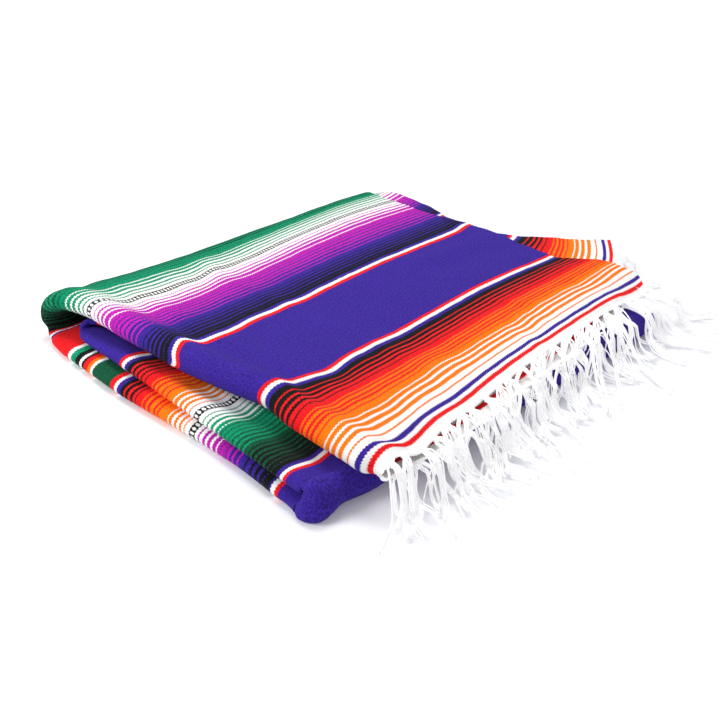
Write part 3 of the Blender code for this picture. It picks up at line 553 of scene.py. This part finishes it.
def striped_wool(name, stripes, start):
    """The woven wool's material, for a stretch of cloth whose stripes start at a warp place."""
    stripes = [(item[0], float(item[1:])) for item in stripes.split()]
    wool = bpy.data.materials.new(name)
    wool.use_nodes = True
    tree = wool.node_tree
    shader = tree.nodes["Principled BSDF"]
    uv = add_node(tree, "UVMap", uv_map="cloth")
    place = add_node(tree, "SeparateXYZ", (("Vector", uv.outputs[0]),))

    def calc(operation, *values):
        return add_node(tree, "Math", tuple(enumerate(values)), operation=operation).outputs[0]

    sway = add_node(tree, "TexNoise", (("Vector", uv.outputs[0]), ("Scale", SWAY_SCALE), ("Detail", 1.0)))
    swayed = calc("MULTIPLY_ADD", sway.outputs[0], PICK_SWAY, place.outputs["Y"])
    warp_number = calc("FLOOR", calc("MULTIPLY_ADD", place.outputs["X"], 1 / WARP_GAP, 1000.0))
    odd = calc("MODULO", warp_number, 2.0)
    pick_number = calc("MULTIPLY_ADD", swayed, 1 / PICK, -0.5)
    pair = calc("FLOOR", calc("MULTIPLY_ADD", calc("SUBTRACT", pick_number, odd), 0.5, 0.5))
    pick = calc("MULTIPLY_ADD", pair, 2.0, odd)
    woven_place = calc("MULTIPLY", pick, PICK)
    colour = add_stripes(tree, pick, stripes, start)

    link = calc("FRACT", calc("MULTIPLY", place.outputs["X"], 1 / CHAIN_LINK))
    from_centre = calc("ABSOLUTE", calc("MULTIPLY_ADD", link, 2 * CHAIN_OVAL, -CHAIN_OVAL))
    across_link = calc("POWER", from_centre, 2.0)
    edge = start * 1000
    for letter, width in stripes:
        if letter == "C":
            middle = (edge + width / 2) / 1000
            from_middle = calc("MULTIPLY_ADD", woven_place, 1 / CHAIN_HALF_WIDTH, -middle / CHAIN_HALF_WIDTH)
            in_oval = calc("LESS_THAN", calc("MULTIPLY_ADD", from_middle, from_middle, across_link), 1.0)
            mixed = add_node(tree, "Mix", (("Factor", in_oval), (6, colour), (7, linear(WOOL["W"]))),
                             data_type="RGBA")
            colour = mixed.outputs[2]
        edge += width

    # The yarn is spun and dyed unevenly, so the colours are mottled, the deep dyes most, and the
    # white is clean.  Painted shade between the warps is added to the same unevenness.
    mottle_place = add_node(tree, "CombineXYZ", (
        ("X", calc("MULTIPLY", place.outputs["X"], MOTTLE_PER_M[0])),
        ("Y", calc("MULTIPLY", place.outputs["Y"], MOTTLE_PER_M[1]))))
    mottle = add_node(tree, "TexNoise", (("Vector", mottle_place.outputs[0]), ("Scale", 1.0),
                                         ("Detail", 2.0)))
    streak_place = add_node(tree, "CombineXYZ", (
        ("X", calc("MULTIPLY", place.outputs["X"], STREAK_PER_M)), ("Y", pick)))
    streak = add_node(tree, "TexNoise", (("Vector", streak_place.outputs[0]), ("Scale", 0.8)))
    cloud = add_node(tree, "TexNoise", (("Vector", uv.outputs[0]), ("Scale", CLOUD_SCALE), ("Detail", 4.0)))
    # painted shade: darker between the warps and lighter on their crests
    rib_shade = calc("COSINE", calc("MULTIPLY", place.outputs["X"], 2 * math.pi / WARP_GAP))
    uneven_and_rib_shade = calc("MULTIPLY_ADD", mottle.outputs[0], MOTTLE, -(MOTTLE + STREAK + CLOUD) / 2)
    uneven_and_rib_shade = calc("MULTIPLY_ADD", streak.outputs[0], STREAK, uneven_and_rib_shade)
    uneven_and_rib_shade = calc("MULTIPLY_ADD", cloud.outputs[0], CLOUD, uneven_and_rib_shade)
    uneven_and_rib_shade = calc("MULTIPLY_ADD", rib_shade, RIB_SHADE, uneven_and_rib_shade)
    dyed = add_node(tree, "SeparateColor", (("Color", colour),), mode="HSV")
    uneven_and_rib_shade = calc("MULTIPLY", uneven_and_rib_shade, calc("MULTIPLY_ADD", dyed.outputs[2], -0.6, 1.2))
    uneven_and_rib_shade = calc("MULTIPLY", uneven_and_rib_shade, calc("MULTIPLY_ADD", dyed.outputs[1], 0.95, 0.05))
    shade = calc("ADD", uneven_and_rib_shade, 1.0)
    tinted = add_node(tree, "HueSaturation", (("Color", colour), ("Value", shade)))
    tree.links.new(tinted.outputs[0], shader.inputs["Base Color"])

    over_warp = calc("ABSOLUTE", calc("SINE", calc("MULTIPLY", place.outputs["X"], math.pi / WARP_GAP)))
    phase = calc("MULTIPLY", calc("SUBTRACT", pick_number, odd), math.pi / 2)
    over_pick = calc("ABSOLUTE", calc("COSINE", phase))
    bead = calc("POWER", calc("MULTIPLY", over_warp, calc("MULTIPLY_ADD", over_pick, 0.6, 0.4)), 0.6)
    hair = add_node(tree, "TexNoise", (("Vector", uv.outputs[0]), ("Scale", HAIR_SCALE), ("Detail", 2.0)))
    height = calc("MULTIPLY_ADD", hair.outputs[0], 0.5, bead)
    bump = add_node(tree, "Bump", (("Height", height), ("Strength", 0.8), ("Distance", BEAD_HEIGHT)))
    tree.links.new(bump.outputs[0], shader.inputs["Normal"])
    shader.inputs["Roughness"].default_value = 0.92
    shader.inputs["Specular IOR Level"].default_value = 0.1
    shader.inputs["Sheen Weight"].default_value = 0.03
    shader.inputs["Sheen Roughness"].default_value = 0.5
    return wool


# ---- Top fold: the leaves that lie on top, their rolled edge and the wrap at the back ----------------
# The first stretch from the fringed hem.  Its upper leaf puffs up over the layers below and has an
# old storage crease; its lower leaf slips out in a flap at the far corner.
TOP_END = 0.795
TOP_STRIPES = """
    W12.9 R7.5 W7.3 B7.7 W11.9 O3.3 W9.5 O7.8 W5.5 O7.8 W4.6 O7.7 W2.1 O12.4 R2.5 O5.5 R4 O3.5 R4 O4 R5 O2.5
    R12 K2 R7 K3.5 R5 K5.5 R3 K8 R1.5 K12 B7 W7.5 R7.5 B160.5 R7.5 W7.5 B7.5 K8 B1.5 K6.5 B2.5 K5.5 B3.5
    K4.5 B4.5 K3.5 B5.5 K2 B12.4 M2 B6 M3.5 B5.5 M4.5 B4 M5 B3 M5.5 B2 M6 B1.1 M7 W2.1 M8 W4 M5.5 W5.5 M4.5
    W6.5 M2.5 W9 C12 W8.5 G2.5 W6.5 G4 W5.5 G5 W4 G6.5 W1.5 G5 D1.5 G6 D2 G6 D2.5 G5.5 D3.5 G5 D4.5 G4.5 D6
    G3 D8.5 K2.5 D6 K3.5 D5 K4 D4 K5 D3.5 K5 D2 K6 D1.1 K9 R8 W7 B7 R47"""
top_wefts = spaced((-1.0, -0.09, 0.0125), (-0.09, 0.09, 0.0052), (0.09, 1.0, 0.0065))
blanket_top = woven_cloth("blanket_top", spaced((0.0, 0.655, 0.005), (0.655, TOP_END, 0.0042)), top_wefts)
blanket_top.data.materials.append(striped_wool("handwoven_wool_top", TOP_STRIPES, 0.0))
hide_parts("top_fold")
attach(blanket_top, "root")


# ---- Bottom fold: the leaves on the table, their rolled edge and the bend at the front ---------------
# The same cloth runs on under everything, to the solid blue band that bends up at the front.
BOTTOM_END = 1.430
BOTTOM_STRIPES = """
    R41.5 W6.5 G9 K10 W7 K6 R10.5 O7.5 W6.5 D48 R9 W7.5 B8.5 K7.5 R3 K7 R6 K4.5 R6 K2.5 R13 O2.2 R6.5 O4.5
    R5.5 O7.5 R4 O5 R3 O20.3 W1.5 O7 W5 O6 W5 O4.5 W6 O2.5 W8 C12 W7.5 M2.5 W6.5 M5.5 W5 M7 W4 M8 W1.5 M6
    B1.1 M6 B1.5 M2.4 B2.5 M5 B4 M4 B5 M2.5 B9 K2 B6 K3.5 B4.5 K4.5 B3.5 K5.5 B1.5 K9.5 B3.5 W6 R7 B200"""
base_wefts = spaced((-1.0, -0.09, 0.016), (-0.09, 0.09, 0.0052), (0.09, 1.0, 0.012))
blanket_bottom = woven_cloth("blanket_bottom", spaced((TOP_END, 1.34, 0.0045), (1.34, BOTTOM_END, 0.0026)),
                              base_wefts)
blanket_bottom.data.materials.append(striped_wool("handwoven_wool_bottom", BOTTOM_STRIPES, TOP_END))
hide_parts("bottom_fold")
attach(blanket_bottom, "root")


# ---- Middle fold and the layers under the top: the rest of the cloth ---------------------------------
# It runs back between the others, bends inside the wrap and ends, hidden, in the second hem.
MIDDLE_STRIPES = """
    B33 R7 W7 B8 K9 D1.1 K5.9 D2 K5 D3.5 K5 D4 K4 D5 K3.5 D6 K2.5 D8.5 G3 D6 G4.5 D4.5 G5 D3.5 G5.5 D2.5 G6
    D2 G6 D1.5 G5 W1.5 G6.5 W4 G5 W5.5 G4 W6.5 G2.5 W8.5 C12 W8.5 O2.5 W7 O5 W5 O5.5 W4 O8 W1.5 O14 R2.5 O7
    R3.5 O6 R5 O4 R6 O2 R15 K2 R6.5 K3.5 R6 K4.5 R5.5 K5.5 R4.5 K8 B8.5 W7 R8.5 B175 R8 W7.5 B7.5 K16 R2 K6
    R5 K4 R7 K3 R15 O4 R4 O20 W1.5 O7 W6 O6 W6 O5 W10 O2.5 W10 B5.5 W8 R6.5 W30"""
blanket_middle = woven_cloth("blanket_middle", spaced((BOTTOM_END, 1.94, 0.0048), (1.94, 2.01, 0.002),
                                                      (2.01, CLOTH_LENGTH, 0.008)), base_wefts)
blanket_middle.data.materials.append(striped_wool("handwoven_wool_middle", MIDDLE_STRIPES, BOTTOM_END))
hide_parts("middle_fold", "hidden_layers")
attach(blanket_middle, "root")


# ---- Fringe: the warp ends, knotted in tassels of a dozen soft white yarns ---------------------------
# Each tassel's yarns leave the hem side by side and meet in a knot.  They part in clinging strands
# that fall over the bend, curve and lie on the table across the next tassels' strands.
YARN_RADIUS = 0.0011
YARN_SIDES = 5
YARN_POINTS = 26
YARN_TIP = 0.8                           # a yarn's tip, as a part of its radius
YARN_LENGTHS = (0.93, 1.06)              # the least and the most, as for the ranges below
STRAND_YARNS = (5, 3, 4)                 # yarns that cling together in each of a tassel's strands
STRAND_LENGTHS = (0.70, 1.07)
YARNS = sum(STRAND_YARNS)
CLING = 0.0018                           # between a strand's first and second yarn
STRAYS, FAR_STRAY, NEAR_STRAY = 0.14, 0.0085, 0.0016     # one yarn in seven strays far from its strand
BOW = (0.008, 0.024)                     # how far a strand curves to one side
WIGGLE = (0.0008, 0.0028)
BOW_TURN, WIGGLE_TURN = 3.6, 11.0        # radians of each wave from the knot to the tip
LIFT = (0.0, 0.0080)                     # how far it lies above the lowest one
LIFT_ON_HEM, LIFT_TUCKED = 0.35, 0.12    # and the parts of that beside the hem and between the leaves
TASSEL_PITCH = 0.031                     # along the hem, and how far a tassel may be out of its place
TASSEL_SHIFT = 0.006
TASSEL_FOOT = 0.038                      # the hem that a tassel's yarns leave from, wider than its pitch
FOOT_SHIFT = 0.0012
HEM_MARGIN = 0.004                       # from the last tassel to the selvedge at least
HEM_ENDS = (0.004, 0.999)                # parts of the half weft that the yarns leave from
BEHIND_HEM = (0.0010, 0.0050)            # how far inside the hem a yarn starts
LOOSE_RISE = (0.0006, 0.0030)            # and how it lies above the cloth and ahead, half way to the knot
LOOSE_SHIFT = (-0.0025, 0.0010)
KNOT_RUN = 0.0060                        # from the hem to the knot, and the parts of it that they vary by
KNOT_RUNS = (0.6, 1.6)
KNOT_RADIUS = 0.0034
KNOT_FLATNESS = 0.8
KNOT_TURNS, TURN_POINTS = 3, 13
TIP_SPAN = 0.052                         # across the tips of one tassel's strands
LEAN_SPREAD = 0.007
TURN_SPREAD = 13.0                       # degrees
SEED_TURN = 2.4                          # radians between yarns that are packed as seeds are
CORD_POINTS = 480
CORD_TURNS = 75                          # turns of the cord along the hem
CORD_YARN, CORD_OFFSET = 0.0014, 0.0012  # radius of its two yarns, and of their turns
CORD_OUT = 0.0016                        # how far its middle lies beyond the hem
FLAP_START = 0.8                         # part of the half weft where the flap starts
FLAP_TURN = 24                           # how much further out the flap's last tassel points, in degrees
# Down a tassel: how far it is from the hem at least, how far in front of the bend at least, and its
# height above the table (or its fall below the hem, if negative).
FALL_COLUMNS = ("from_hem", "from_bend", "height")
UPPER_FALL = ((0.014, -1.0, -0.0010), (0.028, 0.002, -0.0045), (0.041, 0.0165, 0.0330),
              (0.050, 0.0255, 0.0165), (0.062, 0.0380, 0.0068), (0.082, 0.0600, 0.0030),
              (0.105, 0.0880, 0.0018))
LOWER_FALL = ((0.010, -1.0, -0.0010), (0.015, -0.0060, 0.0440), (0.023, 0.0090, 0.0345),
              (0.030, 0.0165, 0.0160), (0.038, 0.0260, 0.0058), (0.056, 0.0420, 0.0024),
              (0.076, 0.0620, 0.0018))
BETWEEN_LEAVES = 0.04                    # a station above this lies between the leaves
BEND_FRONT_Y = (-0.0125, 0.0035, 0.0290) # the front of the bend on the weft lines
BEND_SPAN = (-0.010, 0.745)              # and from where to where a tassel falls over it
# Part of the half weft, which way the tassels lie there, in degrees from straight out, and how long
# they are.
SWEEP = ((0.0, -46, 0.72), (0.06, -30, 0.86), (0.14, -8, 0.96), (0.30, 0, 1.0), (0.60, 0, 1.0),
         (0.85, 4, 1.0), (1.0, 10, 0.95))


def tube(points, radii, sides):
    """Vertices and faces of a round yarn along points, closed at both ends."""
    tangent = np.gradient(points, axis=0)
    tangent /= np.maximum(np.linalg.norm(tangent, axis=1, keepdims=True), 1e-9)
    side = np.cross(tangent, (0.0, 0.0, 1.0))
    side /= np.maximum(np.linalg.norm(side, axis=1, keepdims=True), 1e-9)
    up = np.cross(side, tangent)
    angles = np.arange(sides) * 2 * math.pi / sides
    ring = side[:, None] * np.cos(angles)[:, None] + up[:, None] * np.sin(angles)[:, None]
    verts = (points[:, None] + ring * radii[:, None, None]).reshape(-1, 3)
    faces = []
    for i in range(len(points) - 1):
        for k in range(sides):
            a, b = i * sides + k, i * sides + (k + 1) % sides
            faces.append((a, b, b + sides, a + sides))
    faces.append(tuple(range(sides - 1, -1, -1)))
    faces.append(tuple((len(points) - 1) * sides + k for k in range(sides)))
    return verts, faces


def smooth_path(stations, count):
    """Evenly spaced places on a smooth path through the stations."""
    run = np.concatenate(([0.0], np.cumsum(np.linalg.norm(np.diff(stations, axis=0), axis=1))))
    knots = np.broadcast_to(run, (count, len(run)))
    at = np.linspace(0.0, run[-1], count)
    return np.stack([run_through(knots, stations[:, axis], at) for axis in range(3)], axis=-1)


def tassel(side, weft, fall, chance):
    """The paths and radii of one tassel's yarns and of the turns of yarn round its knot."""
    reach = np.linspace(-0.5, 0.5, YARNS) * TASSEL_FOOT + chance.uniform(-FOOT_SHIFT, FOOT_SHIFT, YARNS)
    wefts = side * np.clip(weft + reach / HALF_WEFT, *HEM_ENDS)
    hem, normal, _, along = lie_and_frame(np.full(YARNS, 0.001), wefts)
    centre = np.argmin(np.abs(np.abs(wefts) - weft))
    middle, normal, ahead = hem[centre], normal[centre], -along[centre]
    flat_ahead = np.array((ahead[0], ahead[1], 0.0)) / math.hypot(ahead[0], ahead[1])
    sideways = np.array((-flat_ahead[1], flat_ahead[0], 0.0))
    knot = middle + ahead * KNOT_RUN * chance.uniform(*KNOT_RUNS) + normal * 0.001
    front = np.interp(middle[0] - FRAME_SHIFT.x, WEFT_LINE_X, BEND_FRONT_Y) + FRAME_SHIFT.y
    over_bend = BEND_SPAN[0] < middle[0] - FRAME_SHIFT.x < BEND_SPAN[1]
    places, turns, lengths = zip(*SWEEP)
    on_flap = np.clip((weft - FLAP_START) / (1 - FLAP_START), 0, 1) if side < 0 else 0.0
    turn = np.interp(weft, places, turns) + FLAP_TURN * on_flap + chance.normal(0.0, TURN_SPREAD)
    angle = math.radians(turn)
    length = np.interp(weft, places, lengths)
    yarns = []
    number = 0
    order = chance.permutation(len(STRAND_YARNS))
    for strand, count in enumerate(STRAND_YARNS):
        lean = TIP_SPAN * ((order[strand] + 0.5) / len(STRAND_YARNS) - 0.5) + chance.normal(0.0, LEAN_SPREAD)
        bow, bow_phase = chance.uniform(*BOW), chance.uniform(0.0, 2 * math.pi)
        wiggle, wiggle_phase = chance.uniform(*WIGGLE), chance.uniform(0.0, 2 * math.pi)
        lift, strand_length = chance.uniform(*LIFT), chance.uniform(*STRAND_LENGTHS)
        for k in range(count):
            seed_angle = number * SEED_TURN
            out = KNOT_RADIUS * KNOT_FLATNESS * math.sqrt((number + 0.5) / YARNS)
            packed = sideways * (out * math.cos(seed_angle)) + normal * (out * math.sin(seed_angle))
            cling = CLING * math.sqrt(k)
            beside, above = cling * math.cos(SEED_TURN * k), cling * abs(math.sin(SEED_TURN * k))
            stray = chance.normal(0.0, FAR_STRAY if chance.random() < STRAYS else NEAR_STRAY)
            longer = chance.uniform(*YARN_LENGTHS) * strand_length
            loose = hem[number] * 0.45 + knot * 0.55 + normal * chance.uniform(*LOOSE_RISE)
            loose = loose + ahead * chance.uniform(*LOOSE_SHIFT)
            start = hem[number] - ahead * chance.uniform(*BEHIND_HEM) + normal * 0.0008
            stations = [start, loose, knot + packed]
            for i, row in enumerate(fall):
                station = dict(zip(FALL_COLUMNS, row))
                run = station["from_hem"] * length
                if over_bend:
                    run = max(run, (station["from_bend"] + middle[1] - front) / max(0.5, -flat_ahead[1]))
                part = (i + 1) / len(fall)
                run = KNOT_RUN + (run - KNOT_RUN) * (1 + (longer - 1) * part)
                turned = angle * part**0.5
                wave = bow * (math.sin(bow_phase + BOW_TURN * part) - math.sin(bow_phase)) * part
                wave += wiggle * math.sin(wiggle_phase + WIGGLE_TURN * part)
                spot = middle + flat_ahead * (KNOT_RUN + (run - KNOT_RUN) * math.cos(turned))
                spot += sideways * ((run - KNOT_RUN) * math.sin(turned) + lean * part**0.7)
                spot += sideways * (wave + beside + stray * part)
                low = station["height"] <= 0
                spot[2] = middle[2] + station["height"] if low else station["height"]
                tucked = station["height"] > BETWEEN_LEAVES
                lift_share = LIFT_ON_HEM if low else LIFT_TUCKED if tucked else 1.0
                spot[2] += (lift + above) * lift_share + packed[2] * (1 - part)
                stations.append(spot)
            path = smooth_path(np.array(stations), YARN_POINTS)
            path[:, 2] = np.maximum(path[:, 2], YARN_RADIUS + 0.0001)
            yarns.append((path, YARN_RADIUS * np.linspace(1.0, YARN_TIP, YARN_POINTS)))
            number += 1
    turn = np.linspace(0.0, 2 * math.pi, TURN_POINTS)[:, None]
    around = sideways * KNOT_RADIUS * np.cos(turn) + normal * KNOT_RADIUS * KNOT_FLATNESS * np.sin(turn)
    for k in range(KNOT_TURNS):
        askew = ahead * chance.normal(0.0, 0.001) * np.cos(turn)
        ring = knot + ahead * 2 * YARN_RADIUS * (k - 1) + around + askew
        yarns.append((ring, np.full(TURN_POINTS, YARN_RADIUS * 1.15)))
    return yarns


def hem_cord(side):
    """The paths and radii of two yarns twisted along the hem, which the tassels are tied over."""
    wefts = side * np.linspace(0.006, 0.998, CORD_POINTS)
    hem, normal, _, along = lie_and_frame(np.full(CORD_POINTS, 0.0005), wefts)
    yarns = []
    for phase in (0.0, math.pi):
        turn = np.linspace(0.0, 2 * math.pi * CORD_TURNS, CORD_POINTS)[:, None] + phase
        path = hem - along * (CORD_OUT + CORD_OFFSET * np.sin(turn)) + normal * CORD_OFFSET * np.cos(turn)
        yarns.append((path, np.full(CORD_POINTS, CORD_YARN)))
    return yarns


def knotted_fringe(name, side, fall, first, seed):
    """All the tassels along one leaf's hem, as one mesh whose UV map runs along each yarn in metres."""
    chance = np.random.default_rng(seed)
    yarns = hem_cord(side)
    for place in np.arange(first, HALF_WEFT - HEM_MARGIN, TASSEL_PITCH):
        place += chance.uniform(-TASSEL_SHIFT, TASSEL_SHIFT)
        yarns += tassel(side, place / HALF_WEFT, fall, chance)
    verts, faces, runs, start = [], [], [], 0
    for path, radii in yarns:
        made, sides = tube(path, radii, YARN_SIDES)
        verts.append(made)
        faces += [tuple(start + k for k in face) for face in sides]
        start += len(made)
        run = np.concatenate(([0.0], np.cumsum(np.linalg.norm(np.diff(path, axis=0), axis=1))))
        turns = np.arange(YARN_SIDES) / YARN_SIDES
        runs.append(np.stack((np.tile(turns, len(path)), np.repeat(run, YARN_SIDES)), axis=-1))
    mesh = bpy.data.meshes.new(name)
    mesh.from_pydata(np.concatenate(verts).tolist(), [], faces)
    mesh.shade_smooth()
    uv = mesh.uv_layers.new(name="yarn")
    corner = np.zeros(len(mesh.loops), int)
    mesh.loops.foreach_get("vertex_index", corner)
    uv.data.foreach_set("uv", np.concatenate(runs)[corner].ravel())
    piece = bpy.data.objects.new(name, mesh)
    bpy.context.scene.collection.objects.link(piece)
    return piece


# Undyed cotton and wool yarn: white, soft, twisted about every 4 mm, with a painted glow that lightens its
# shade.
YARN_TWIST = 0.004
FLUFF_SCALE = 700.0                      # per metre: the fluff is drawn 1.4 mm across, so that it shows
YARN_PAINTED_GLOW = 0.24
twist = bpy.data.materials.new("undyed_twisted_yarn")
twist.use_nodes = True
tree = twist.node_tree
shader = tree.nodes["Principled BSDF"]
uv = add_node(tree, "UVMap", uv_map="yarn")
place = add_node(tree, "SeparateXYZ", (("Vector", uv.outputs[0]),))
ply = add_node(tree, "Math", ((0, place.outputs["Y"]), (1, 1 / YARN_TWIST), (2, place.outputs["X"])),
               operation="MULTIPLY_ADD")
turned = add_node(tree, "Math", ((0, ply.outputs[0]), (1, 2 * math.pi)), operation="MULTIPLY")
strand = add_node(tree, "Math", ((0, turned.outputs[0]),), operation="SINE")
coords = add_node(tree, "TexCoord")
fluff = add_node(tree, "TexNoise", (("Vector", coords.outputs["Object"]), ("Scale", FLUFF_SCALE),
                                    ("Detail", 3.0)))
height = add_node(tree, "Math", ((0, strand.outputs[0]), (1, 0.35), (2, fluff.outputs[0])),
                  operation="MULTIPLY_ADD")
bump = add_node(tree, "Bump", (("Height", height.outputs[0]), ("Strength", 0.6), ("Distance", 0.0005)))
tone = add_node(tree, "MapRange", (("Value", fluff.outputs[0]), ("To Min", 0.94), ("To Max", 1.04)))
tinted = add_node(tree, "HueSaturation", (("Color", linear("#FBFAFA")), ("Value", tone.outputs[0])))
tree.links.new(tinted.outputs[0], shader.inputs["Base Color"])
tree.links.new(bump.outputs[0], shader.inputs["Normal"])
shader.inputs["Roughness"].default_value = 0.9
shader.inputs["Specular IOR Level"].default_value = 0.15
shader.inputs["Sheen Weight"].default_value = 0.15
shader.inputs["Emission Color"].default_value = linear("#F4F6FA")     # painted glow that lightens the yarns' shade
shader.inputs["Emission Strength"].default_value = YARN_PAINTED_GLOW

upper_yarns = knotted_fringe("upper_yarns", 1, UPPER_FALL, 0.016, 5)
lower_yarns = knotted_fringe("lower_yarns", -1, LOWER_FALL, 0.040, 11)
for yarns, node in ((upper_yarns, "fringe_upper"), (lower_yarns, "fringe_lower")):
    yarns.data.materials.append(twist)
    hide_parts(node)
    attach(yarns, "root")
